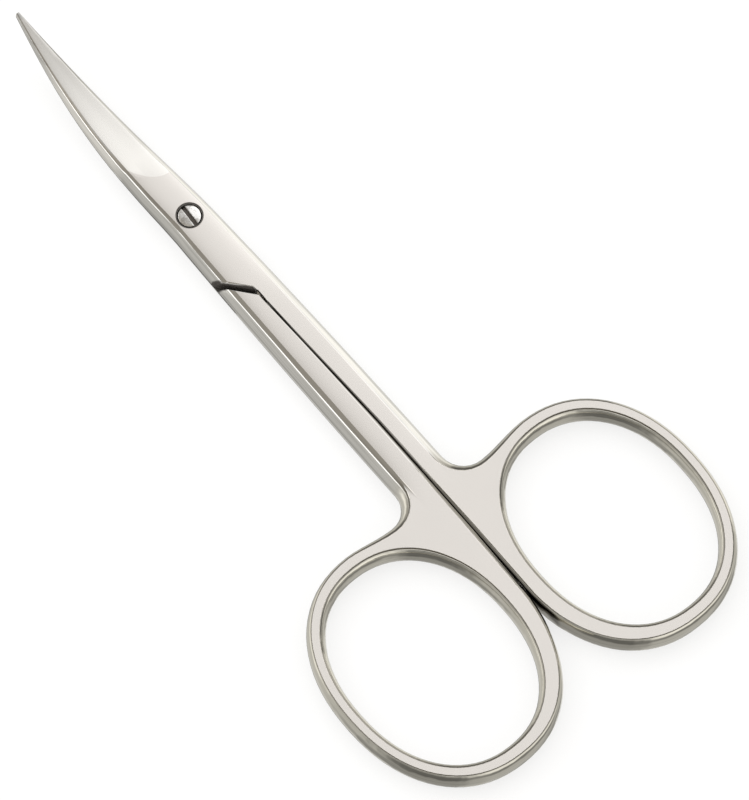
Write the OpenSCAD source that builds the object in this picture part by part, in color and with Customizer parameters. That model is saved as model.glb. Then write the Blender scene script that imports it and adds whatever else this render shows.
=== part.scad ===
// Cuticle scissors: two crossed halves with finger rings, joined by a slotted pivot screw.
// The pivot runs along Z through the origin, the tips point to +Y and the rings to -Y.
// The scissors lie on their back, so Z = 0 is the underside and the screw head is on top.

/* [Handles] */
// Length of the handles, from the pivot to the end of the rings
handle_length = 65.8; // [58:0.2:76]
// Thickness of both halves at the shanks, the rings and the pivot
thickness = 2.9; // [2.6:0.1:3.6]
// Width of one shank at its widest, just above the ring
shank_width = 3.05; // [2.5:0.05:3.6]
// Gap between the two closed handles
handle_gap = 0.16; // [0.08:0.02:0.4]
// How far the rounded flank of a shank bulges beyond its flat face
shank_round = 1.14; // [0.6:0.02:1.2]
// How far the edge between the two handles is rounded back at the shoulders
seam_edge = 0.08; // [0.06:0.02:0.3]
// How far that edge is rounded back between the rings
seam_round = 0.46; // [0.3:0.02:0.6]

/* [Finger rings] */
// Width of the finger hole at its narrowest
hole_width = 18.25; // [16:0.05:24]
// Length of the finger hole at its narrowest
hole_length = 23.65; // [20:0.05:30]
// Width of the ring beside the other ring
ring_inside = 2.5; // [1.6:0.05:3.2]
// Width of the ring on its outer side
ring_outside = 1.87; // [1.5:0.01:2.6]
// Width of the ring at its two ends
ring_end = 2.1; // [1.5:0.05:3]
// Fullness of the oval, where 2 is a plain ellipse
ring_fullness = 2.18; // [2:0.02:2.6]
// How far the outer flank of the ring bulges beyond its flat face
ring_round = 0.54; // [0.2:0.02:0.6]
// How far the wall of the finger hole bulges beyond the flat face
hole_round = 0.7; // [0.2:0.02:0.8]
// Radius of the crotch between the shank and the ring
crotch_radius = 2.7; // [1.4:0.1:3.2]
// How far the outline dips beside the crotch
crotch_dip = 0.55; // [0.2:0.05:1.4]

/* [Lap joint] */
// Width of the closed scissors at the pivot
pivot_width = 5; // [4.4:0.1:5.6]
// Distance from the pivot down to the foot of the shoulder
shoulder_distance = 10.5; // [8.5:0.1:13]
// Slope of the shoulder, in degrees from a straight step
shoulder_angle = 50; // [30:1:55]
// Gap between a shoulder and the half that swings away from it
shoulder_gap = 0.45; // [0.2:0.05:0.8]
// Radius of the corner of a shoulder, beside the other handle
shoulder_radius = 0.5; // [0.3:0.1:0.9]
// Radius of the outer corner of the plate that lies on the shoulder
plate_radius = 1.4; // [0.5:0.1:1.6]
// How far the edge of the plate above the shoulder is rounded back
plate_round = 0.36; // [0.1:0.02:0.5]
// How far the edge of the shoulder itself is rounded back
shoulder_round = 0.1; // [0.04:0.02:0.2]
// Gap between the two flat faces that slide on each other
lap_gap = 0.04; // [0.02:0.01:0.08]

/* [Blades] */
// Length of the blades, from the pivot to the tips
blade_length = 27; // [22:0.2:32]
// Width of the closed blades at the tips
tip_width = 0.44; // [0.3:0.02:0.8]
// Thickness of one blade at its tip
tip_thickness = 0.55; // [0.4:0.05:0.9]
// How quickly the blades narrow, where 1 is a straight taper
taper_power = 1.95; // [1.3:0.05:2.4]
// Distance from the pivot to where the blades start to curve upwards
bend_start = 7.5; // [4:0.5:12]
// Radius of the upward curve of the blades
bend_radius = 53; // [34:1:90]
// Sideways bow of the blades halfway along
side_bow = 0.36; // [0:0.02:0.5]
// Distance from the pivot to the ground face, on its cutting side
grind_start = 4.85; // [3.6:0.05:6.5]
// How much further up the middle of the ground face starts
grind_sweep = 0.55; // [0.2:0.05:0.8]
// Depth of the hollow on the inner face of a blade
hollow_depth = 0.1; // [0:0.02:0.16]
// Share of half the width that the flank of a blade takes
flank_share = 0.34; // [0.2:0.02:0.4]
// Lean of the bevel that leads to the cutting edge, in degrees
edge_lean = 34; // [10:1:45]

/* [Pivot screw] */
// Diameter of the screw's head
head_diameter = 2.3; // [1.9:0.05:2.8]
// Thickness of the head
head_height = 0.75; // [0.5:0.05:0.85]
// Height of the dome on the head
head_dome = 0.1; // [0:0.02:0.2]
// Depth of the head's rim below the face of the scissors
head_sink = 0.14; // [0.02:0.02:0.3]
// Gap round the head in its seat
head_clearance = 0.13; // [0.05:0.01:0.25]
// Chamfer round the mouth of the seat
seat_chamfer = 0.12; // [0.04:0.02:0.3]
// Diameter of the screw's shaft
shaft_diameter = 1.6; // [1.2:0.05:1.8]
// Radial gap between the shaft and the half that turns on it
running_clearance = 0.05; // [0.02:0.01:0.1]
// Radial gap between the shaft and the half that it is screwed into
thread_clearance = 0.01; // [0:0.005:0.03]
// Gap under the head
head_play = 0.02; // [0.01:0.01:0.05]
// Width of the slot in the head
slot_width = 0.45; // [0.3:0.05:0.7]
// Depth of the slot
slot_depth = 0.4; // [0.2:0.05:0.5]
// Turn of the slot from the length of the scissors, in degrees
slot_turn = -4; // [-45:1:45]
// Chamfer on the end of the shaft
shaft_chamfer = 0.12; // [0:0.02:0.2]

/* [Hidden] */

steel = [0.84, 0.83, 0.8];
screw_steel = [0.88, 0.88, 0.87];

// Steps of a rounded flank, from the middle of the thickness to a flat face, and how they
// crowd towards the face, where the flank curves most
flank_steps = 6;
flank_crowding = 1.6;
// Steps along each quarter of an oval
oval_steps = 20;
// How far the hub of a handle's faces lies up from the ring's middle, as a share
hub_share = 0.55;
// Steps of a rounded edge at the shoulder
edge_steps = 4;
// Steps along a fillet, along the dip beside the crotch and up the shank
fillet_steps = 7;
dip_steps = 6;
shank_steps = 6;
// Steps up the overlap of handle and plate, and on up to the ground face
lap_steps = 3;
plate_steps = 5;
// Steps across the flat of a blade, and along the blade beyond the line of the ground face
flat_steps = 8;
blade_steps = 16;
// Steps of the dome on the screw's head
dome_steps = 6;
cut_margin = 1;

mid = thickness / 2;
seam = handle_gap / 2;
lap_top = lap_gap / 2;
pivot_half = pivot_width / 2;
tip_half = tip_width / 2;
shank_half = seam + shank_width;

function blend(a, b, t) = a + (b - a) * t;
function unit(v) = v / norm(v);
function within(t) = min(max(t, 0), 1);

// The rings, which touch the seam where they are widest
ring_width = ring_inside + hole_width + ring_outside;
ring_length = hole_length + 2 * ring_end;
ring_x = seam + ring_width / 2;
ring_y = ring_length / 2 - handle_length;
ring_top = ring_y + ring_length / 2;
hole_x = seam + ring_inside + hole_width / 2;
crotch_x = shank_half + crotch_radius;
crotch_y = ring_top - crotch_dip + crotch_radius;

// The shoulders, where each half steps down to the lap joint
plate_foot = -shoulder_distance;
shoulder_foot = plate_foot - shoulder_gap / cos(shoulder_angle);
shoulder_slope = tan(shoulder_angle);
shoulder_turn = 90 - shoulder_angle;
handle_end = plate_foot / 2;
lap_stations = [for (i = [0 : lap_steps]) blend(plate_foot, handle_end, i / lap_steps)];

// The screw's seat
rim_z = thickness - head_sink;
head_z = rim_z - head_height;
seat_z = head_z - head_play;

// Half the width of the closed scissors at a place along Y
function blade_half(y) = tip_half + (pivot_half - tip_half) * (1 - pow(y / blade_length, taper_power));
function shank_share(y) = 1 - pow(1 - within(y / crotch_y), 2);
function handle_half(y) = blend(pivot_half, shank_half, shank_share(y));
function half_width(y) = y > 0 ? blade_half(y) : handle_half(y);

// How far a flank bulges beyond the flat face at a place along Y
function handle_flank(y) = blend(flank_share * pivot_half, shank_round, shank_share(y));
function flank(y) = y > 0 ? flank_share * blade_half(y) : handle_flank(y);

// A point of an oval at an angle, and the direction of its outward normal
function bent_power(v, p) = sign(v) * pow(abs(v), p);
function oval(centre, size, a) = [
    centre[0] + size[0] / 2 * bent_power(cos(a), 2 / ring_fullness),
    centre[1] + size[1] / 2 * bent_power(sin(a), 2 / ring_fullness)
];
function oval_normal(size, a) = unit([
    bent_power(cos(a), 2 - 2 / ring_fullness) / size[0],
    bent_power(sin(a), 2 - 2 / ring_fullness) / size[1]
]);

// The outline of a handle as places, each a point, its outward normal and its rounding.
// It runs down the seam, round the ring, along the dip, through the crotch and up the shank.
ring_size = [ring_width, ring_length];
ring_middle = [ring_x, ring_y];
function seam_rounding(y) =
    blend(seam_edge, seam_round, within((y - shoulder_foot) / (ring_y - shoulder_foot)));
seam_places = [
    for (y = [handle_end, plate_foot, shoulder_foot - shoulder_radius, crotch_y])
        [[seam, y], [-1, 0], seam_rounding(y)]
];
ring_places = [
    for (i = [0 : 3 * oval_steps])
        let (a = 180 + i * 90 / oval_steps)
        [
            oval(ring_middle, ring_size, a),
            oval_normal(ring_size, a),
            blend(seam_round, ring_round, within(i / oval_steps))
        ]
];
function ease(t) = t * t * (3 - 2 * t);
function ease_slope(t) = 6 * t * (1 - t);
dip_run = ring_x - crotch_x;
dip_share = 0.5;
function dip_rounding(t) = blend(ring_round, shank_round, dip_share * t);
dip_places = [
    for (i = [1 : dip_steps - 1])
        let (t = i / dip_steps)
        [
            [ring_x - dip_run * t, ring_top - crotch_dip * ease(t)],
            unit([-crotch_dip * ease_slope(t), dip_run]),
            dip_rounding(t)
        ]
];
crotch_places = [
    for (i = [0 : fillet_steps])
        let (t = i / fillet_steps, a = 270 - 90 * t)
        [
            [crotch_x + crotch_radius * cos(a), crotch_y + crotch_radius * sin(a)],
            [-cos(a), -sin(a)],
            blend(dip_rounding(1), shank_round, t)
        ]
];
shank_stations = concat(
    [for (i = [1 : shank_steps - 1]) blend(crotch_y, plate_foot, i / shank_steps)],
    lap_stations
);
shank_places = [for (y = shank_stations) [[half_width(y), y], [1, 0], flank(y)]];
handle_places = concat(seam_places, ring_places, dip_places, crotch_places, shank_places);
// The whole outline is in sight from the hub, in line with the shank, so each face closes flat
handle_hub = [seam + shank_width / 3, blend(ring_y, ring_top, hub_share)];

// The finger hole, whose wall is rounded more than the outside of the ring
hole_size = [hole_width, hole_length];
hole_places = [
    for (i = [0 : 4 * oval_steps - 1])
        let (a = i * 90 / oval_steps)
        [oval([hole_x, ring_y], hole_size, a), -oval_normal(hole_size, a), hole_round]
];

// A plate with rounded flanks: one loop of points for each level, closed by a fan on each face.
// A level is a share of the rounding and a height.
function flank_turn(k) = 90 * (1 - pow(1 - abs(k) / flank_steps, flank_crowding)) * sign(k);
flank_levels = [
    for (k = [-flank_steps : flank_steps])
        let (a = flank_turn(k))
        [1 - cos(a), mid + mid * sin(a)]
];
function loop_at(places, level) = [
    for (p = places)
        let (q = p[0] - p[1] * p[2] * level[0])
        [q[0], q[1], level[1]]
];
function loop_faces(count, loops) = [
    for (k = [0 : loops - 2], i = [0 : count - 1])
        let (a = k * count + i, b = k * count + (i + 1) % count)
        each [[a, a + count, b + count], [a, b + count, b]]
];
module rounded_plate(places, levels, hub) {
    count = len(places);
    loops = len(levels);
    last = (loops - 1) * count;
    under = loops * count;
    points = concat(
        [for (level = levels) each loop_at(places, level)],
        [[hub[0], hub[1], levels[0][1]], [hub[0], hub[1], levels[loops - 1][1]]]
    );
    faces = concat(
        loop_faces(count, loops),
        [for (i = [0 : count - 1]) [under, i, (i + 1) % count]],
        [for (i = [0 : count - 1]) [under + 1, last + (i + 1) % count, last + i]]
    );
    polyhedron(points, faces);
}

// The levels of a rounded edge, from an upright wall up to a face, or down to the underside
function edge_levels(face, radius) = [
    for (k = [0 : edge_steps])
        let (a = 90 * k / edge_steps)
        [1 - cos(a), face - radius + radius * sin(a)]
];
function edge_levels_below(radius) = [
    for (k = [edge_steps : -1 : 0])
        let (a = 90 * k / edge_steps)
        [1 - cos(a), radius - radius * sin(a)]
];

// What is cut from the handle above the shoulder, where the other half's plate lies
module shoulder_cut() {
    top_y = shoulder_foot + 2 * seam * shoulder_slope;
    middle = [seam + shoulder_radius, top_y - shoulder_radius * tan(shoulder_turn / 2)];
    far = shank_half + cut_margin;
    left = seam - cut_margin;
    away = [cos(180 - shoulder_turn), sin(180 - shoulder_turn)];
    arc = [
        for (i = [0 : fillet_steps])
            let (a = 180 - i * shoulder_turn / fillet_steps, n = [cos(a), sin(a)])
            [middle + shoulder_radius * n, n, shoulder_round]
    ];
    places = concat(
        [[[left, middle[1]], away, 0]],
        arc,
        [[[far, shoulder_foot + (far + seam) * shoulder_slope], away, shoulder_round]],
        [[[far, 0], away, 0], [[left, 0], away, 0]]
    );
    levels = concat(
        [[1, -cut_margin]],
        edge_levels_below(shoulder_round),
        [[0, mid + lap_top]]
    );
    rounded_plate(places, levels, [seam - cut_margin / 2, -cut_margin]);
}

// What is cut from the handle where its own plate is seated
module plate_seat() {
    translate([-cut_margin, plate_foot, mid + lap_top])
        cube([shank_half + 2 * cut_margin, shoulder_distance, thickness]);
}

module handle() {
    over = [[1, -cut_margin]];
    above = [[1, thickness + cut_margin]];
    difference() {
        rounded_plate(handle_places, flank_levels, handle_hub);
        rounded_plate(hole_places, concat(over, flank_levels, above), [hole_x, ring_y]);
        plate_seat();
        shoulder_cut();
    }
}

// The line where the ground face of a blade starts, across the blade from edge (1) to spine (-1)
grind_power = 2.6;
grind_reach = 3.5;
function grind_line(f) = grind_start + grind_sweep * pow(1 - f, grind_power);
grind_middle = grind_line(0);
function past_line(y, f) = within((y - grind_line(f)) / (blade_length - grind_line(f)));

// Height of a blade's outer face above the middle, less beyond the line
function face_height(y, f) = blend(mid, tip_thickness, past_line(y, f));

// The curve of the blades: how far they rise, how far they bow, and the hollow of the inner face
function bend_rise(y) = bend_radius - sqrt(pow(bend_radius, 2) - pow(max(y - bend_start, 0), 2));
function bow(y) = -side_bow * sin(180 * within(y / blade_length));
function hollow(y) = hollow_depth * sin(180 * within((y - bend_start) / (blade_length - bend_start)));

// The edge side (1) leans over into a bevel up the blade, the spine side (-1) stays round
function lean(y, side) = side > 0 ? edge_lean * within(y / bend_start) : 0;

// A point of a flank, counted from the middle of the thickness up to the face: across and up
function flank_point(y, k, side) =
    let (
        start = lean(y, side),
        a = blend(start, 90, flank_turn(k) / 90),
        inset = flank(y) * (cos(start) - cos(a)) / cos(start),
        rise = (sin(a) - sin(start)) / (1 - sin(start)),
        x = side * (half_width(y) - inset)
    )
    [x, rise * face_height(y, x / half_width(y))];
// The foot of a flank is the point of its lowest step at the sliding face
function flank_foot(y, side) =
    let (next = flank_point(y, 1, side))
    blend(flank_point(y, 0, side), next, lap_top / next[1]);
function flank_place(y, k, side) = k == 0 ? flank_foot(y, side) : flank_point(y, k, side);

// Stations along the plate and the blade, and how a station is swept to follow the line
plate_stations = concat(
    lap_stations,
    [for (i = [1 : plate_steps - 1]) blend(handle_end, grind_middle, i / plate_steps)],
    [for (i = [0 : blade_steps]) blend(grind_middle, blade_length, i / blade_steps)]
);
function swept(y, f) =
    y + within(1 - abs(y - grind_middle) / grind_reach) * (grind_line(f) - grind_middle);

// The loop of points round a section: up the spine, over the flat, down the edge, back below
function flank_side(y, side) =
    let (at = swept(y, side * (1 - flank_share / 2)))
    [for (k = [0 : flank_steps]) let (p = flank_place(at, k, side)) [p[0], at, p[1]]];
function flat_side(y) = [
    for (i = [1 : flat_steps - 1])
        let (f = (2 * i / flat_steps - 1) * (1 - flank_share), at = swept(y, f))
        [f * half_width(at), at, face_height(at, f)]
];
function inner_side(y) = [
    for (i = [1 : flat_steps - 1])
        let (f = 1 - 2 * i / flat_steps, at = swept(y, f))
        [f * half_width(at), at, lap_top + hollow(at) * (1 - f * f)]
];
function backwards(list) = [for (i = [len(list) - 1 : -1 : 0]) list[i]];
function section(y) = concat(
    flank_side(y, -1),
    flat_side(y),
    backwards(flank_side(y, 1)),
    inner_side(y)
);

// A point of the front half (side 1), or turned over for the back half (side -1), then bent
function placed(p, side) = [side * p[0] + bow(p[1]), p[1], mid + side * p[2] + bend_rise(p[1])];

module plate_and_blade(side) {
    sections = [for (y = plate_stations) [for (p = section(y)) placed(p, side)]];
    count = len(sections[0]);
    loops = len(sections);
    ring = [for (i = [0 : count - 1]) (i + round(flank_steps / 2)) % count];
    last = (loops - 1) * count;
    difference() {
        polyhedron(
            [for (s = sections) each s],
            concat(loop_faces(count, loops), [ring], [[for (i = backwards(ring)) last + i]])
        );
        turned_for(side) plate_corner();
    }
}

// Turn a tool over for the half that it cuts
module turned_for(side) {
    translate([0, 0, mid])
        rotate([0, side > 0 ? 0 : 180, 0])
            translate([0, 0, -mid])
                children();
}

// What is cut from the corner of the plate, beside the shoulder of the other half
module plate_corner() {
    corner_y = plate_foot + (seam + pivot_half) * shoulder_slope;
    side_x = -half_width(corner_y);
    start_y = plate_foot + (seam - side_x) * shoulder_slope;
    middle = [side_x + plate_radius, start_y + plate_radius * tan(shoulder_turn / 2)];
    far = -shank_half - cut_margin;
    low = plate_foot - cut_margin;
    arc = [
        for (i = [0 : fillet_steps])
            let (a = 180 + i * shoulder_turn / fillet_steps, n = [cos(a), sin(a)])
            [middle + plate_radius * n, n, plate_round]
    ];
    down = [0, -1 / cos(shoulder_angle)];
    places = concat(
        [[[far, middle[1]], down, 0]],
        arc,
        [[[seam, plate_foot], down, plate_round]],
        [[[seam, low], down, 0], [[far, low], down, 0]]
    );
    levels = concat(
        [[0, mid - cut_margin]],
        edge_levels(thickness, plate_round),
        [[1, thickness + cut_margin]]
    );
    rounded_plate(backwards(places), levels, [(far + side_x) / 2, plate_foot]);
}

module front_half() {
    seat_r = head_diameter / 2 + head_clearance;
    color(steel)
        difference() {
            union() {
                handle();
                plate_and_blade(1);
            }
            cylinder(h = thickness, r = shaft_diameter / 2 + running_clearance, $fn = 48);
            translate([0, 0, seat_z])
                cylinder(h = thickness, r = seat_r, $fn = 64);
            translate([0, 0, thickness - seat_chamfer])
                cylinder(h = 2 * seat_chamfer, r1 = seat_r, r2 = seat_r + 2 * seat_chamfer, $fn = 64);
        }
}

module back_half() {
    color(steel)
        difference() {
            union() {
                turned_for(-1) handle();
                plate_and_blade(-1);
            }
            translate([0, 0, -cut_margin])
                cylinder(h = thickness, r = shaft_diameter / 2 + thread_clearance, $fn = 48);
        }
}

module pivot_screw() {
    shaft_r = shaft_diameter / 2;
    head_r = head_diameter / 2;
    dome = [
        for (i = [0 : dome_steps])
            let (t = 1 - i / dome_steps)
            [head_r * t, rim_z + head_dome * (1 - t * t)]
    ];
    profile = concat(
        [[0, 0], [shaft_r - shaft_chamfer, 0], [shaft_r, shaft_chamfer], [shaft_r, head_z], [head_r, head_z]],
        dome
    );
    color(screw_steel)
        difference() {
            rotate_extrude($fn = 64) polygon(profile);
            rotate([0, 0, slot_turn])
                translate([-slot_width / 2, -head_diameter, rim_z - slot_depth])
                    cube([slot_width, 2 * head_diameter, thickness]);
        }
}

front_half();
back_half();
pivot_screw();
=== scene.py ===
# %% [markdown]
# # Cuticle scissors: two steel halves and a slotted screw
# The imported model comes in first. It holds the real shapes and the real joint, in metres,
# with the pivot on the Z axis, the tips on +Y and the finger rings on -Y. Everything after
# this dresses that frame: it takes the burrs off the edges, gives each surface its finish,
# and sets up the table, the lights and the camera.

# %% Load the frame
import math
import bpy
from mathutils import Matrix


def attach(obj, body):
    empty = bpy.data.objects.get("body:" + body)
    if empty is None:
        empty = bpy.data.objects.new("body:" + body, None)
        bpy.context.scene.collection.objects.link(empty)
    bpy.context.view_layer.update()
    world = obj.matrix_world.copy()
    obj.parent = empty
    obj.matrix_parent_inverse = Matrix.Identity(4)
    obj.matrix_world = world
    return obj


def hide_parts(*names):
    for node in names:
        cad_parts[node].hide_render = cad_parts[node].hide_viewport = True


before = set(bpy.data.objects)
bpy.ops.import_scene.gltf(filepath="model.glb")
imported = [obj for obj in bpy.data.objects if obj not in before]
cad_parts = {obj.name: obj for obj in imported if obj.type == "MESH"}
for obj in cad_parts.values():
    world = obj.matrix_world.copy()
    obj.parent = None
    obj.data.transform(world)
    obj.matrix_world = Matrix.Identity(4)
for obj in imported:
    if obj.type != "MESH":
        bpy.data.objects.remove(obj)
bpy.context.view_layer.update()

from types import SimpleNamespace

import bmesh
import bpy
from mathutils import Matrix, Vector

MM = 0.001
print("nodes:", sorted(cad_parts))

# %% [markdown]
# ## The camera
# The photograph is a product shot that looks down on the screw's side of the scissors, tilted
# a little towards the rings, from far off with a long lens. So the camera is given by what can
# be measured in the picture: the pixel on which a known point of the scissors lands, how many
# pixels a millimetre takes there, and the directions of the picture's right and of its view.
# A long lens a few metres away keeps the sides nearly parallel, as they are in the photograph.

# %% Camera
PHOTO_WIDTH, PHOTO_HEIGHT = 749, 800
AIM = Vector((0, -20, 2)) * MM
AIM_PIXEL = (317.35, 361.57)
PIXELS_PER_MM = 9.9909
CAMERA_DISTANCE = 2652 * MM
SENSOR_MM = 36
TOWARDS_CAMERA = Vector((-0.24061, -0.2714, 0.93191)).normalized()
picture_right = Vector((0.76664, -0.64198, 0.01097))
picture_right = (picture_right - picture_right.dot(TOWARDS_CAMERA) * TOWARDS_CAMERA).normalized()
picture_up = TOWARDS_CAMERA.cross(picture_right)

across = (AIM_PIXEL[0] - PHOTO_WIDTH / 2) / PIXELS_PER_MM * MM
down = (AIM_PIXEL[1] - PHOTO_HEIGHT / 2) / PIXELS_PER_MM * MM
camera_place = AIM + CAMERA_DISTANCE * TOWARDS_CAMERA - across * picture_right + down * picture_up

camera_data = bpy.data.cameras.new("product_camera")
camera_data.sensor_width = SENSOR_MM
camera_data.lens = PIXELS_PER_MM / MM * CAMERA_DISTANCE / PHOTO_HEIGHT * SENSOR_MM
camera_data.clip_end = 20
camera = bpy.data.objects.new("product_camera", camera_data)
bpy.context.scene.collection.objects.link(camera)
camera.matrix_world = Matrix.Translation(camera_place) @ Matrix(
    (picture_right, picture_up, TOWARDS_CAMERA)
).transposed().to_4x4()
bpy.context.scene.camera = camera
bpy.context.scene.view_settings.view_transform = "Standard"
print("lens:", round(camera_data.lens), "mm, from", round(camera_place.length, 2), "m")

# %% [markdown]
# ## Shader sums as plain expressions
# Node trees are hard to read as code, so one small class wraps a socket and turns Python's
# own signs into Math nodes: `1 - mask * 0.5` builds its nodes and gives the last socket back.
# Every other node comes from one method that takes its type, its settings and its inputs.


# %% A socket that can be reckoned with
class Signal:
    """A socket in a node tree that can be added, multiplied and so on."""

    def __init__(self, bench, socket):
        self.bench, self.socket = bench, socket

    def sum(self, operation, *others):
        values = dict(enumerate((self, *others)))
        return self.bench.node("ShaderNodeMath", {"operation": operation}, values)

    def __add__(self, other):
        return self.sum("ADD", other)

    def __sub__(self, other):
        return self.sum("SUBTRACT", other)

    def __mul__(self, other):
        return self.sum("MULTIPLY", other)

    def __truediv__(self, other):
        return self.sum("DIVIDE", other)

    __radd__ = __add__
    __rmul__ = __mul__

    def __rsub__(self, other):
        return (self * -1) + other

    def absolute(self):
        return self.sum("ABSOLUTE")

    def root(self):
        return self.sum("SQRT")

    def at_least(self, other):
        return self.sum("MAXIMUM", other)

    def at_most(self, other):
        return self.sum("MINIMUM", other)

    def rise(self, low, high):
        """0 below low and 1 above high, with a soft step between them."""
        return self.bench.node(
            "ShaderNodeMapRange",
            {"interpolation_type": "SMOOTHSTEP"},
            {"Value": self, "From Min": low, "From Max": high},
        )


# %% A bench for wiring nodes
class Bench:
    """A node tree that is being wired."""

    def __init__(self, tree):
        self.tree = tree
        tree.nodes.clear()

    def node(self, kind, settings=None, values=None, output=0):
        made = self.tree.nodes.new(kind)
        for name, setting in (settings or {}).items():
            if name == "stops":
                ramp = made.color_ramp.elements
                while len(ramp) < len(setting):
                    ramp.new(0.5)
                for stop, (place, colour) in zip(ramp, setting):
                    stop.position, stop.color = place, colour
            else:
                setattr(made, name, setting)
        for name, value in (values or {}).items():
            socket = made.inputs[name]
            if isinstance(value, Signal):
                self.tree.links.new(value.socket, socket)
            else:
                socket.default_value = value
        return Signal(self, made.outputs[output]) if made.outputs else made

    def mix(self, first, second, share):
        """Two colours mixed, as the Mix node does it."""
        return self.node(
            "ShaderNodeMix", {"data_type": "RGBA"}, {0: share, 6: first, 7: second}, 2
        )

    def parts(self, vector):
        """The three numbers of a vector."""
        split = self.tree.nodes.new("ShaderNodeSeparateXYZ")
        self.tree.links.new(vector.socket, split.inputs[0])
        return [Signal(self, output) for output in split.outputs]

    def vector(self, x, y, z):
        return self.node("ShaderNodeCombineXYZ", None, {0: x, 1: y, 2: z})

    def noise(self, vector, scale, detail=2.0, roughness=0.5):
        """Cloudy noise from 0 to 1 on a vector."""
        values = {"Vector": vector, "Scale": scale, "Detail": detail, "Roughness": roughness}
        return self.node("ShaderNodeTexNoise", None, values)

    def ray(self, kind):
        """1 for rays of one kind, such as the camera's own, and 0 for the others."""
        node = self.tree.nodes.new("ShaderNodeLightPath")
        return Signal(self, node.outputs[kind])


# %% Small helpers
def grey(level):
    return (level, level, level, 1)


def blended(level, other, share):
    """One number that goes over into another as the share goes from 0 to 1."""
    return level + (other - level) * share


print("helpers ready: Signal, Bench, grey, blended")

# %% [markdown]
# ## The table
# The scissors lie on a plain white table. To the camera the table is white by its own glow,
# never by more light on the steel, and a dull lit part under the glow keeps a faint soft
# shadow. Polished steel doesn't see the table at all: the lower half of the room stands for
# it there, as a real table's shaded parts would, or every flank would melt into white.

# %% Table
TABLE_HALF_WIDTH = 3.0
TABLE_DEPTH = -0.01 * MM
TABLE_LIT = 0.25
TABLE_GLOW = 0.74
table_mesh = bpy.data.meshes.new("white_table")
shape = bmesh.new()
bmesh.ops.create_grid(shape, x_segments=1, y_segments=1, size=TABLE_HALF_WIDTH)
bmesh.ops.translate(shape, verts=shape.verts, vec=(0, 0, TABLE_DEPTH))
shape.to_mesh(table_mesh)
shape.free()
white_table = bpy.data.objects.new("white_table", table_mesh)
bpy.context.scene.collection.objects.link(white_table)
white_table.visible_glossy = False

table_paint = bpy.data.materials.new("white_table_paint")
table_paint.use_nodes = True
bench = Bench(table_paint.node_tree)
seen = bench.ray("Is Camera Ray").at_least(bench.ray("Is Glossy Ray"))
seen = seen.at_least(bench.ray("Is Transmission Ray"))
lit = bench.node("ShaderNodeBsdfDiffuse", None, {"Color": grey(TABLE_LIT)})
glow = bench.node(
    "ShaderNodeEmission", None, {"Color": grey(1), "Strength": seen * TABLE_GLOW}
)
both = bench.node("ShaderNodeAddShader", None, {0: lit, 1: glow})
bench.node("ShaderNodeOutputMaterial", None, {"Surface": both})
table_mesh.materials.append(table_paint)
print("table:", 2 * TABLE_HALF_WIDTH, "m wide, glows", TABLE_GLOW, "to the camera")

# %% [markdown]
# ## The studio room
# Polished steel shows the room round it, so the room matters as much as the steel. Lamps and
# boards could stand round the table, as in a real studio, but each would light the table too.
# So the room is painted on the world, as soft patches of light and dark: a ceiling that is
# dull on the left and brightens to the right, a bright strip low in it on the left, and lower
# down a window on the right, a dark corner past the left ring, a lit wall behind the tips on
# the left and a pale wall past the rings. The camera itself sees only white.

# %% Room: directions
SIDE_TURN = 0.25
SMALLEST_REACH = 0.001
world = bpy.data.worlds.new("studio_room")
bpy.context.scene.world = world
world.use_nodes = True
bench = Bench(world.node_tree)
direction = bench.node("ShaderNodeTexCoord", None, None, "Generated")
away_x, away_y, height = bench.parts(direction)
side = away_x + away_y * SIDE_TURN
level_reach = (away_x * away_x + away_y * away_y).root().at_least(SMALLEST_REACH)


def towards(east, north, start, full):
    """1 where the room is seen in one compass direction, fading out round it."""
    return ((away_x * east + away_y * north) / level_reach).rise(start, full)


# %% Room: ceiling
SIDE_START, SIDE_SPAN = -0.5, 1.2
BLUE_TO_GREEN_LOSS = 2.6
CEILING = [  # distance along the side, level, warmth
    (0.0, 0.40, 0.07), (0.48, 0.41, 0.07), (0.62, 0.45, 0.03), (0.685, 0.57, 0.01),
    (0.77, 0.84, 0), (0.886, 1.02, 0), (0.94, 1.15, 0), (1.10, 1.45, 0),
]


def warm(level, warmth):
    """A grey that loses a little green and more blue as it gets warmer."""
    return (level, level * (1 - warmth), level * (1 - BLUE_TO_GREEN_LOSS * warmth), 1)


ceiling = bench.node(
    "ShaderNodeValToRGB",
    {"stops": [(place / SIDE_SPAN, warm(level, warmth)) for place, level, warmth in CEILING]},
    {"Fac": (side - SIDE_START) / SIDE_SPAN},
)
print("ceiling levels:", [level for _, level, _ in CEILING])

# %% Room: walls
WALL_GREEN, WALL_BLUE = 0.985, 0.94
# East, north, and the two cosines between which a wall comes in
CORNER_PLACE = (-0.83, -0.56, 0.68, 0.98)
BEHIND_TIPS_PLACE = (-0.51, 0.86, 0.77, 0.98)
PAST_RINGS_PLACE = (0.24, -0.97, 0.60, 0.98)
WINDOW_PLACE = (0.966, 0.259, 0.88, 0.96)

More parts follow.
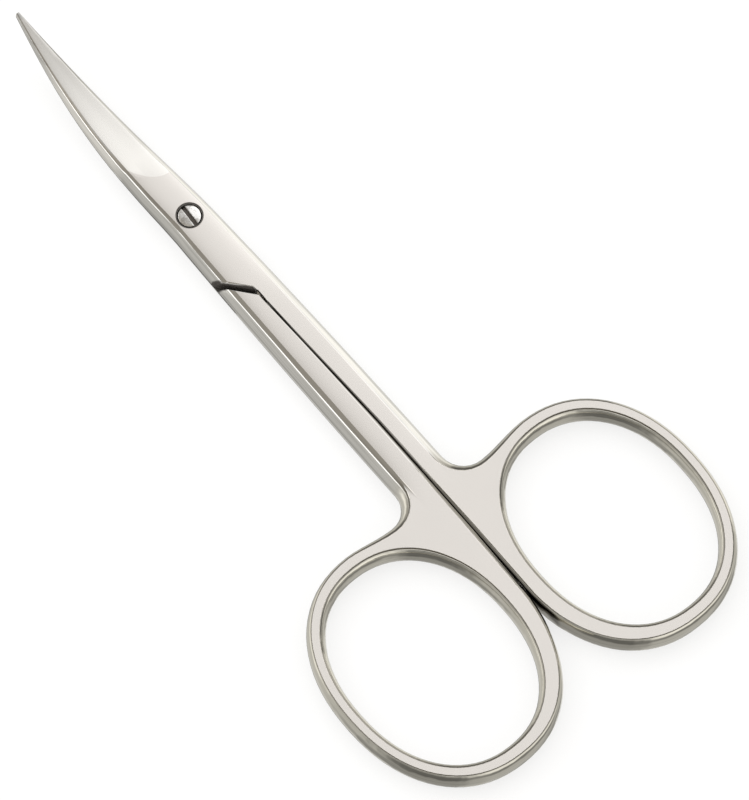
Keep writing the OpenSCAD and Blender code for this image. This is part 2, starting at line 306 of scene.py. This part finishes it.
dull = 0.36 + 0.34 * height.rise(-0.85, -0.55)
dull = dull - 0.34 * height.rise(0.2, 0.36) * side.rise(-0.25, 0.2)
dark_corner = 0.40 - 0.21 * height.rise(-0.75, -0.6) * (1 - height.rise(0.0, 0.25))
behind_tips = 0.75 + 0.6 * height.rise(-0.4, 0.0)
past_rings = 0.62 - 0.34 * height.rise(-0.65, -0.5) + 1.1 * height.rise(-0.3, 0.05)
window = 0.9 + 0.65 * height.rise(-0.75, 0.1)
wall = blended(dull, dark_corner, towards(*CORNER_PLACE))
wall = blended(wall, behind_tips, towards(*BEHIND_TIPS_PLACE))
wall = blended(wall, past_rings, towards(*PAST_RINGS_PLACE))
wall = blended(wall, window, towards(*WINDOW_PLACE))
walls = bench.vector(wall, wall * WALL_GREEN, wall * WALL_BLUE)
print("walls: a dull one all round, with four patches on it")

# %% Room: put together
CEILING_EDGE = (0.64, 0.70)
STRIP_BOTTOM, STRIP_TOP, STRIP_RIGHT = (0.58, 0.64), (0.71, 0.76), (-0.1, 0.2)
STRIP_LEVEL = 2.1
strip = height.rise(*STRIP_BOTTOM) * (1 - height.rise(*STRIP_TOP)) * (1 - side.rise(*STRIP_RIGHT))
room_colour = bench.mix(walls, ceiling, height.rise(*CEILING_EDGE))
room_colour = bench.mix(room_colour, grey(STRIP_LEVEL), strip)
shown = bench.mix(room_colour, grey(1.0), bench.ray("Is Camera Ray"))
background = bench.node("ShaderNodeBackground", None, {"Color": shown, "Strength": 1.0})
bench.node("ShaderNodeOutputWorld", None, {"Surface": background})
print("room: ceiling above height", CEILING_EDGE[1], "with a strip of level", STRIP_LEVEL)

# %% [markdown]
# ## The soft panel
# A photographer's softbox lights the table from the tips' side, so the scissors throw a soft
# faint shadow towards the rings. A glowing plane would do, but an area light of the same size
# gives a cleaner shadow in fewer samples. Steel mirrors the room and not the panel.

# %% Soft panel
PANEL_SIZE = 0.8
PANEL_DISTANCE = 0.6
PANEL_RADIANCE = 1.2
panel_direction = Vector((-0.05, 0.60, 0.80)).normalized()
panel_data = bpy.data.lights.new("soft_panel", "AREA")
panel_data.shape = "SQUARE"
panel_data.size = PANEL_SIZE
panel_data.energy = PANEL_RADIANCE * math.pi * PANEL_SIZE**2
panel = bpy.data.objects.new("soft_panel", panel_data)
panel.location = panel_direction * PANEL_DISTANCE + Vector((0, AIM.y, 0))
panel.rotation_mode = "QUATERNION"
panel.rotation_quaternion = panel_direction.to_track_quat("Z", "Y")
panel.visible_glossy = False
bpy.context.scene.collection.objects.link(panel)
print("panel:", round(panel_data.energy, 2), "W at", PANEL_DISTANCE, "m")

# %% [markdown]
# ## Where each finish of the steel lies
# Both halves are one stainless steel with three finishes. The flat faces are satin: tumbled to
# a fine even grain that spreads a reflection wide. From a curved line above the screw to the
# tips the faces are ground brighter. The rounded flanks and the ring walls are polished. Each
# finish could be its own material on chosen faces, but then its border follows the mesh. So
# the finish is told by how flat the surface lies, and on the raised blades the upward curve
# is taken off first, so that the satin runs on to the tips. All places are in millimetres.

# %% Steel: a point and how its surface stands
THICKNESS = 2.9
BEND_START, BEND_RADIUS = 7.5, 53.0


class SteelSurface:
    """The readings that the steels share: where a point lies and how its surface stands."""

    def __init__(self, bench):
        coordinates = bench.tree.nodes.new("ShaderNodeTexCoord")
        metres = Signal(bench, coordinates.outputs["Object"])
        self.place = bench.node(
            "ShaderNodeVectorMath", {"operation": "SCALE"}, {0: metres, "Scale": 1 / MM}
        )
        self.x, self.y, self.z = bench.parts(self.place)
        normal = bench.parts(Signal(bench, coordinates.outputs["Normal"]))
        climb = ((self.y - BEND_START) / BEND_RADIUS).at_least(0)
        upright = normal[2] * (1 - climb * climb).root() - normal[1] * climb
        self.flat = upright.absolute()


print("blades bend up from y =", BEND_START, "mm on a radius of", BEND_RADIUS, "mm")

# %% Steel: the edge of the satin face
PIVOT_HALF, TIP_HALF = 2.5, 0.22
CROTCH, BLADE_LENGTH = 35.8, 27.0
FACE_SHARE, SHANK_FACE_GAIN = 0.66, 0.34
BLADE_BOW, BLADE_TAPER = 0.36, 1.95


def across_halves(spot):
    """How far out a point lies from the middle of the closed scissors, and the face's edge."""
    below = 1 - (1 - (spot.y * (-1 / CROTCH)).at_least(0).at_most(1)).sum("POWER", 2)
    along = (spot.y / BLADE_LENGTH).at_least(0).at_most(1)
    bow = (along * math.pi).sum("SINE") * -BLADE_BOW
    taper = along.sum("POWER", BLADE_TAPER) * (FACE_SHARE * (PIVOT_HALF - TIP_HALF))
    face_edge = FACE_SHARE * PIVOT_HALF + below * SHANK_FACE_GAIN - taper
    return (spot.x - bow), face_edge


print("face at the screw:", round(2 * FACE_SHARE * PIVOT_HALF, 2), "mm wide")

# %% Steel: zones of finish
RING_START, BLADE_START = -38, 7
TIP_SHADE_START, TIP_SHADE_LENGTH = 11, 13
GRIND_LINE, GRIND_CURVE, GRIND_HALF_WIDTH, GRIND_POWER = 4.85, 0.55, 1.9, 2.6
ROLL_START = 0.12


def finish_zones(spot):
    """Masks from 0 to 1 that say which finish a point of a half has."""
    zone = SimpleNamespace()
    zone.out, zone.face_edge = across_halves(spot)
    zone.past_roll = zone.out.absolute() - (zone.face_edge - ROLL_START)
    zone.left = 1 - zone.out.rise(-0.05, 0.05)
    zone.straight = (spot.y - RING_START).rise(0, 3)
    zone.ring = 1 - (spot.y - RING_START).rise(0, 4)
    zone.blade = (spot.y - BLADE_START).rise(0, 3)
    # A painted shade that grows along the blades towards the tips.
    zone.tip = (spot.y - TIP_SHADE_START).rise(0, TIP_SHADE_LENGTH)
    rolled_edge = zone.past_roll.rise(-0.02, 0.03) * zone.straight * zone.left
    zone.satin = spot.flat.rise(0.980, 0.997) * (1 - rolled_edge)
    curve = (1 - spot.x / GRIND_HALF_WIDTH).sum("POWER", GRIND_POWER)
    grind_line = GRIND_LINE + GRIND_CURVE * curve
    zone.ground = (spot.y - grind_line).rise(-0.02, 0.06) * zone.satin
    return zone


print("grinding starts", round(GRIND_LINE + GRIND_CURVE, 2), "mm above the screw's middle")


# %% Steel: noises
def steel_grain(bench, spot):
    """The noises of the steel, from broad clouds to fine dust, and the polisher's lines."""
    x, y, z = spot.x, spot.y, spot.z
    return SimpleNamespace(
        cloud=bench.noise(spot.place, 0.28, 2.0),
        grain=bench.noise(spot.place, 4.5, 3.0, 0.6),
        dust=bench.noise(spot.place, 16.0, 2.0),
        lines=bench.noise(bench.vector(x * 0.06, y * 0.06, z * 6.5), 1.0, 4.0, 0.65),
        wave=bench.noise(spot.place, 0.5, 1.5),
    )


# %% [markdown]
# ## The colours of the steel
# All of it is one metal, so its finishes differ by shades of grey more than by colour. The
# faces darken towards the tips, a painted shade, and the ring walls are a little darker and
# more olive than the flanks. Thin dark lines run where a wheel turns over an edge and where
# steel only mirrors steel. They could be left to the reflections, but a smooth studio room has
# nothing dark enough in it to draw them, so they are painted shade in the colour.

# %% Steel: dark lines
SEAM_LINE_HALF, SEAM_LINE_TOP = 0.5, -13
RING_SHADE, SEAM_SHADE = 0.75, 0.8


def shaded_lines(spot, zone):
    """Dark lines beside the ring faces, in the seam and down the blades' right edge."""
    x, y, flat = spot.x, spot.y, spot.flat
    ring_edge = flat.rise(0.70, 0.88) * (1 - flat.rise(0.965, 0.992)) * zone.ring
    near_seam = 1 - (x.absolute() - SEAM_LINE_HALF).rise(0, 0.25)
    seam = near_seam * (1 - flat.rise(0.93, 0.985)) * (1 - (y - SEAM_LINE_TOP).rise(0, 1.5))
    blade_edge = (1 - zone.left) * (1 - flat.rise(0.80, 0.95))
    blade_edge = blade_edge * (0.25 + 0.6 * zone.tip) * zone.blade
    return (ring_edge * RING_SHADE).at_least(seam * SEAM_SHADE).at_least(blade_edge)


print("dark lines: ring", RING_SHADE, "seam", SEAM_SHADE)

# %% Steel: colours
SATIN = (0.87, 0.83, 0.785, 1)
GROUND = (0.98, 0.955, 0.91, 1)
POLISHED = (0.64, 0.63, 0.605, 1)
# The ring walls are a little darker and more olive than the flanks.
OLIVE_RING_WALL = (0.62, 0.60, 0.54, 1)
BLADE_FLANK = (0.90, 0.88, 0.84, 1)
SHADE = (0.10, 0.09, 0.075, 1)
PALE_FLANK_END = 17


def clean_steel_colour(bench, spot, zone, noise):
    """The colour of a half before dirt and crevice shade, with painted dark lines and a painted
    shade towards the tips.
    """
    tone = 0.5 + (noise.cloud - 0.5) * 0.7 + (noise.grain - 0.5) * 0.4 + (noise.dust - 0.5) * 0.2
    # Random tone in the faces, with a painted shade that darkens them towards the tips.
    tone_and_tip_shade = 0.965 + 0.06 * tone - 0.15 * zone.tip
    face = bench.mix(grey(0.0), bench.mix(SATIN, GROUND, zone.ground), tone_and_tip_shade)
    pale_flank = zone.blade * (1 - (spot.y - PALE_FLANK_END).rise(0, 6)) * zone.left
    wall = bench.mix(POLISHED, OLIVE_RING_WALL, zone.ring)
    wall = bench.mix(wall, BLADE_FLANK, pale_flank)
    wall = bench.mix(grey(0.0), wall, 0.80 + 0.24 * noise.lines.rise(0.3, 0.6))
    colour = bench.mix(wall, face, zone.satin)
    return bench.mix(colour, SHADE, shaded_lines(spot, zone))


print("steel: satin", SATIN[:3], "ground", GROUND[:3], "polished", POLISHED[:3])

# %% [markdown]
# ## Dirt and painted shade
# Dark dirt and painted shade sit where a cloth can't reach and little light gets in: in the
# thin line where the halves lap, in the gap at the foot of each lap plate, and round the
# screw's head. A node for ambient occlusion finds such places by itself, but it is slow and
# changes as the scissors open. Masks in millimetres stay where they are, and they leave out
# the flat faces, so that the open scissors show bright lap faces.

# %% Masks of dirt and painted shade
# Dark dirt with painted shade in the crevices: the lap line, the shoulder gap, the screw's seat
# and rim.
DIRT_AND_SHADE = (0.022, 0.016, 0.012, 1)
MOST_DIRT_AND_SHADE = 0.95
PLATE_FOOT, SHOULDER_SLOPE, SEAM_HALF = -10.5, 1.19, 0.08
LAP_END = -11
SEAT_RADIUS = 1.28


def dirt_and_shade_mask(spot):
    """How much dirt and painted shade cover a point of a half, from 0 to the most that there is.
    """
    x, y, z, flat = spot.x, spot.y, spot.z, spot.flat
    rise = (y - BEND_START).at_least(0)
    lap_height = THICKNESS / 2 + BEND_RADIUS - (BEND_RADIUS * BEND_RADIUS - rise * rise).root()
    lap = (1 - (z - lap_height).absolute().rise(0.04, 0.22)) * (y - LAP_END).rise(0, 0.6)
    lap = lap * (1 - flat.rise(0.6, 0.85))
    around = (x * x + y * y).root()
    seat = (1 - around.rise(SEAT_RADIUS, SEAT_RADIUS + 0.06)) * (1 - z.rise(2.7, 2.86))
    rim = (1 - (around - SEAT_RADIUS - 0.07).absolute().rise(0.04, 0.11)) * z.rise(2.4, 2.6)
    step = y - PLATE_FOOT - (x.absolute() + SEAM_HALF) * SHOULDER_SLOPE
    own_side = 1 - (x * (z - THICKNESS / 2)).rise(-0.05, 0.05)
    gap = (1 - (step + 0.12).absolute().rise(0.55, 0.85)) * own_side
    gap = gap * (1 - flat.rise(0.75, 0.96))
    return lap.at_least(seat).at_least(gap).at_least(rim) * MOST_DIRT_AND_SHADE


print("grime: lap line, shoulder gap, screw seat and rim")

# %% [markdown]
# ## The relief of the steel
# A wheel never leaves a face quite flat: it crowns a little towards its edges, and on the left
# it rolls over before the flank begins, which draws the dark line beside the white one. On the
# ring walls the wheel leaves shallow waves. Modelled in the mesh, each would need very small
# faces, and all of them are too slight to change the outline. So they are one height in
# millimetres that goes into a Bump node, with the grain and the polishing lines on top.

# %% Steel: crown and roll
CROWN_WIDE, CROWN_EDGE = 0.015, 0.00875
CROWN_START, SHANK_FLAT_END, BLADE_FLAT_START, CROWN_FADE = -40, -14, 4, 8
SHANK_FLATTER = 0.75
ROLL_END, ROLL_SLOPE, ROLL_RETURN = 0.42, 0.18, 0.5
ROLL_FADE_START, ROLL_FADE = 8, 0.65


def face_crown(spot, zone):
    """How far a face falls away towards its edges, in millimetres, less so on the right."""
    share = (zone.out.absolute() / zone.face_edge).at_most(1)
    squared = share * share
    crown = squared * (squared * CROWN_EDGE + CROWN_WIDE) * zone.face_edge
    crown = crown * (spot.y - CROWN_START).rise(0, CROWN_FADE)
    flat_shank = SHANK_FLATTER * (1 - (spot.y - SHANK_FLAT_END).rise(0, CROWN_FADE))
    flat_blade = (spot.y - BLADE_FLAT_START).rise(0, CROWN_FADE)
    return crown * (1 - (1 - zone.left) * flat_shank.at_least(flat_blade))


def left_roll(spot, zone):
    """The height of the rolled left edge, in millimetres: down, and flatter further out."""
    on_roll = zone.past_roll.at_least(0).at_most(ROLL_END)
    past_edge = (on_roll - ROLL_START).at_least(0)
    roll = past_edge * past_edge * ROLL_RETURN - on_roll * ROLL_SLOPE
    roll = roll * zone.straight * zone.left
    return roll * (1 - ROLL_FADE * (spot.y - ROLL_FADE_START).rise(0, 3))


edge_fall = (CROWN_WIDE + CROWN_EDGE) * FACE_SHARE * PIVOT_HALF
print("crown at the screw:", round(edge_fall, 3), "mm at the face's edge")

# %% Steel: relief and roughness
GRAIN_DEPTH, LINE_DEPTH, WAVE_DEPTH = 0.0012, 0.00144, 0.12
SATIN_ROUGH, POLISHED_ROUGH = 0.23, 0.1


def steel_relief(spot, zone, noise):
    """The height of a half's surface above its mesh, in millimetres."""
    waves = noise.wave * WAVE_DEPTH * zone.ring * (1 - zone.satin)
    grain = (noise.grain * 0.6 + noise.dust * 0.4) * GRAIN_DEPTH
    grain = grain * zone.satin * (1 - 0.6 * zone.ground)
    lines = noise.lines * LINE_DEPTH * (1 - zone.satin)
    return grain + lines - face_crown(spot, zone) + left_roll(spot, zone) + waves


def steel_roughness(zone, noise):
    """Satin spreads a reflection wide, and polish keeps it sharp."""
    satin = SATIN_ROUGH + (noise.grain - 0.5) * 0.08 + (noise.cloud - 0.5) * 0.04
    polish = POLISHED_ROUGH + (noise.lines - 0.5) * 0.1
    return polish + (satin - polish) * zone.satin


print("roughness: satin", SATIN_ROUGH, "polished", POLISHED_ROUGH)

# %% [markdown]
# ## The two steel materials
# The halves and the screw are both steel, so one function ends both materials the same way:
# colour, metal, roughness and relief go into a Principled shader. Two trees wired by hand
# would soon drift apart. The screw is a turned head with cloudy wear, and dirt with painted
# shade in its slot.


# %% Materials
def steel_material(name, wire):
    """A material whose colour, metal, roughness and relief come from one wiring function."""
    material = bpy.data.materials.new(name)
    material.use_nodes = True
    bench = Bench(material.node_tree)
    colour, metal, rough, relief = wire(bench, SteelSurface(bench))
    bump = bench.node(
        "ShaderNodeBump", None, {"Strength": 1.0, "Distance": MM, "Height": relief}
    )
    values = {"Base Color": colour, "Metallic": metal, "Roughness": rough, "Normal": bump}
    surface = bench.node("ShaderNodeBsdfPrincipled", None, values)
    bench.node("ShaderNodeOutputMaterial", None, {"Surface": surface})
    print(name, "nodes:", len(material.node_tree.nodes))
    return material


def wire_half(bench, spot):
    """A half: its finishes, with dark dirt and painted shade over them where a cloth can't reach.
    """
    zone, noise = finish_zones(spot), steel_grain(bench, spot)
    # Dirt and painted shade darken the crevices and make them rougher and less metal.
    dirt_and_shade = dirt_and_shade_mask(spot)
    colour = bench.mix(clean_steel_colour(bench, spot, zone, noise), DIRT_AND_SHADE, dirt_and_shade)
    rough = steel_roughness(zone, noise) + dirt_and_shade * 0.5
    return colour, 1 - dirt_and_shade, rough, steel_relief(spot, zone, noise)


scissor_steel = steel_material("satin_and_polished_steel", wire_half)

# %% Screw material
HEAD = (0.86, 0.85, 0.83, 1)
WORN_HEAD = (0.45, 0.43, 0.40, 1)
SLOT_DIRT_AND_SHADE = (0.055, 0.04, 0.03, 1)
DARK_BELOW, CLEAR_ABOVE = 2.45, 2.72


def wire_screw(bench, spot):
    """The screw: a clean head with cloudy wear above a slot darkened by dirt and painted shade.
    """
    cloud = bench.noise(spot.place, 1.6, 3.0, 0.6)
    fine = bench.noise(spot.place, 14.0, 2.0)
    # Dirt and painted shade darken the slot and the head below its top.
    dirt_and_shade = (1 - spot.z.rise(DARK_BELOW, CLEAR_ABOVE)) * 0.9
    colour = bench.mix(HEAD, WORN_HEAD, cloud.rise(0.45, 0.6) * 0.65)
    colour = bench.mix(colour, SLOT_DIRT_AND_SHADE, dirt_and_shade)
    rough = 0.16 + cloud * 0.12 + dirt_and_shade * 0.4
    return colour, 1 - dirt_and_shade * 0.8, rough, fine * 0.0015 + cloud * 0.02


screw_steel = steel_material("screw_steel", wire_screw)

# %% [markdown]
# ## The seam between the shanks
# The solids meet along a straight gap. On real scissors the wheel rounds both edges of that
# gap, more and more towards the rings, and presses it a little to the right. A wide bevel
# would round the edges too, but it keeps one width from end to end. So the copies are cut
# across at a few places, to have points there, and each point near the seam is lowered on to
# a round shoulder and slid over, by amounts that depend on how far along it lies. Both halves
# move alike, so they don't cut into each other.

# %% Seam: where the inner walls stand
MIDDLE_HEIGHT = THICKNESS / 2 * MM
RING_MIDDLE, RING_HALF_WIDTH, RING_HALF_LENGTH = -51.875, 11.31, 13.925
RING_FULLNESS = 2.18


def seam_wall(along):
    """How far out a half's inner wall stands: straight at first, then round with the ring."""
    past_middle = max(RING_MIDDLE - along, 0) / RING_HALF_LENGTH
    narrowing = 1 - (1 - past_middle**RING_FULLNESS) ** (1 / RING_FULLNESS)
    return SEAM_HALF + RING_HALF_WIDTH * narrowing


print("inner wall 5 mm past the ring's middle:", round(seam_wall(RING_MIDDLE - 5), 2), "mm out")

# %% Seam: round shoulders
SEAM_TOP, SEAM_END = -12.4, -59
ROUND_START, ROUND_FADE = -11.2, 6
ROUND_AT_PLATE, ROUND_GAIN, ROUND_REACH = 0.08, 0.38, 1.25
NEAR_MIDDLE = 0.05


def lower_to_shoulder(vert, along, wall):
    """Lower a point near the seam on to a round shoulder that grows towards the rings."""
    share = min(max((along - ROUND_START) / (RING_MIDDLE - ROUND_START), 0), 1)
    radius = (ROUND_AT_PLATE + ROUND_GAIN * share) * MM
    rise = (vert.co.z - MIDDLE_HEIGHT) / MIDDLE_HEIGHT
    if abs(vert.co.x) < wall * MM + ROUND_REACH * radius and abs(rise) > NEAR_MIDDLE:
        shoulder = MIDDLE_HEIGHT - radius + radius * abs(rise)
        target = MIDDLE_HEIGHT + math.copysign(shoulder, rise)
        fade = min(max((along - SEAM_END) / ROUND_FADE, 0), 1)
        vert.co.z += (target - vert.co.z) * fade


print("shoulders: up to", round(ROUND_AT_PLATE + ROUND_GAIN, 2), "mm round")

# %% Seam: step to the right
SEAM_CUTS = (-12.5, -17.0, -23.0, -29.0, -44.0)
SLIDE, SLIDE_LENGTH, SLIDE_WIDTH = 0.36, 16, 1.2
SLIDE_END, SLIDE_FADE = -57, 12
CLOSING = 0.05


def slide_over(vert, along, wall):
    """Move a point near the seam to the right, and close the gap a little."""
    beyond = abs(vert.co.x) / MM - wall
    if beyond < SLIDE_WIDTH and along > SLIDE_END:
        grown = (SEAM_CUTS[0] - along) / SLIDE_LENGTH
        slide = SLIDE * min(grown, 1, (along - SLIDE_END) / SLIDE_FADE)
        closer = math.copysign(CLOSING, vert.co.x) * min(SEAM_TOP - along, 1)
        vert.co.x += (slide - closer) * MM * (1 - max(beyond, 0) / SLIDE_WIDTH)


def round_seam(shape):
    """Give the edges along the seam a round shoulder above an upright wall, as a wheel does."""
    for cut in SEAM_CUTS:
        bmesh.ops.bisect_plane(
            shape, geom=shape.verts[:] + shape.edges[:] + shape.faces[:],
            plane_co=(0, cut * MM, 0), plane_no=(0, 1, 0),
        )
    for vert in shape.verts:
        along = vert.co.y / MM
        if SEAM_END < along < SEAM_TOP:
            wall = seam_wall(along)
            lower_to_shoulder(vert, along, wall)
            slide_over(vert, along, wall)


print("seam: cut at", len(SEAM_CUTS), "places, slides by up to", SLIDE, "mm")

# %% [markdown]
# ## The halves and the screw, with their burrs taken off
# The frame's solids already have the right shape, so the pieces are copies of them. A fresh
# blank has razor-sharp corners that catch no light. The copy's loose triangles are merged,
# its flat faces are joined up, and every true corner gets a bevel of a few hundredths of a
# millimetre, as a polisher's wheel leaves it. A Bevel modifier could do the same, but the
# operator says how many corners it found. Area-weighted normals keep the flats flat.

# %% Deburred copies
CORNER_ANGLE, FLAT_ANGLE = math.radians(36), math.radians(0.2)
HALF_ROUND, HEAD_ROUND = 0.04 * MM, 0.035 * MM
SAME_PLACE = 0.0001 * MM
FACE_WEIGHT = 50


def deburred(node, width, material, body):
    """A copy of a CAD solid with its corners rounded, riding on its body."""
    shape = bmesh.new()
    shape.from_mesh(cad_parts[node].data)
    bmesh.ops.remove_doubles(shape, verts=shape.verts, dist=SAME_PLACE)
    if node != "pivot_screw":
        round_seam(shape)
    bmesh.ops.dissolve_limit(
        shape, angle_limit=FLAT_ANGLE, verts=shape.verts, edges=shape.edges
    )
    corners = [e for e in shape.edges if e.is_manifold and e.calc_face_angle() > CORNER_ANGLE]
    bmesh.ops.bevel(
        shape, geom=corners, offset=width, offset_type="OFFSET", segments=2,
        profile=0.5, affect="EDGES", clamp_overlap=True, material=-1,
    )
    for face in shape.faces:
        face.smooth = True
    mesh = bpy.data.meshes.new(node + "_finished")
    shape.to_mesh(mesh)
    shape.free()
    mesh.materials.append(material)
    piece = bpy.data.objects.new(node + "_finished", mesh)
    bpy.context.scene.collection.objects.link(piece)
    weighted = piece.modifiers.new("flat_faces_stay_flat", "WEIGHTED_NORMAL")
    weighted.weight = FACE_WEIGHT
    weighted.keep_sharp = True
    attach(piece, body)
    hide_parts(node)
    print(node, "corners:", len(corners), "faces:", len(mesh.polygons))
    return piece


front = deburred("front_half", HALF_ROUND, scissor_steel, "front")
back = deburred("back_half", HALF_ROUND, scissor_steel, "back")
screw = deburred("pivot_screw", HEAD_ROUND, screw_steel, "back")
